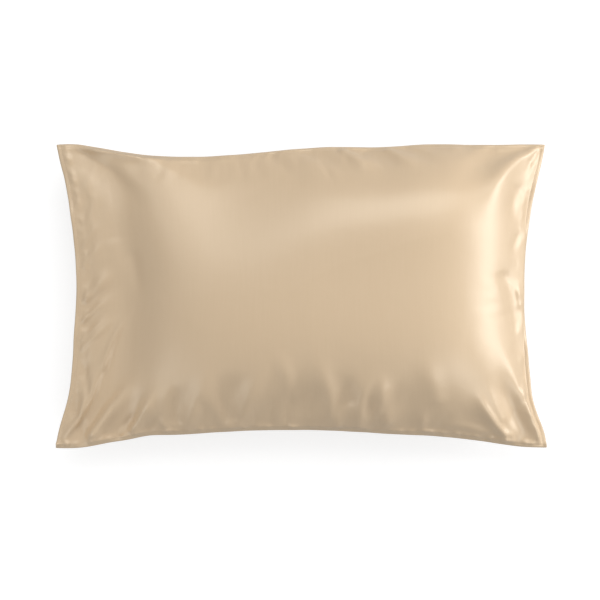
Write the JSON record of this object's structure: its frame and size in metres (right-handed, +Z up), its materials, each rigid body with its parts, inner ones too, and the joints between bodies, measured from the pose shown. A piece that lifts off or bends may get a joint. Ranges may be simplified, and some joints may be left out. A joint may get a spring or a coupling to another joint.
{
  "type": "filled pillowcase",
  "caption": "Satin pillowcase on its pillow, lying on its back: a crowned, sewn cloth form with drawn-in sides, pointed corners and gathers round the seam.",
  "frame": {"origin": "middle of the plan, on the surface that the case lies on", "axes": "+X along the long side, +Y towards the upper long side, +Z up through the crown"},
  "size_m": [0.74, 0.457, 0.168],
  "materials": {
    "satin": "champagne satin weave with a soft warm sheen"
  },
  "bodies": {
    "root": {"pillowcase": "satin"}
  },
  "joints": []
}
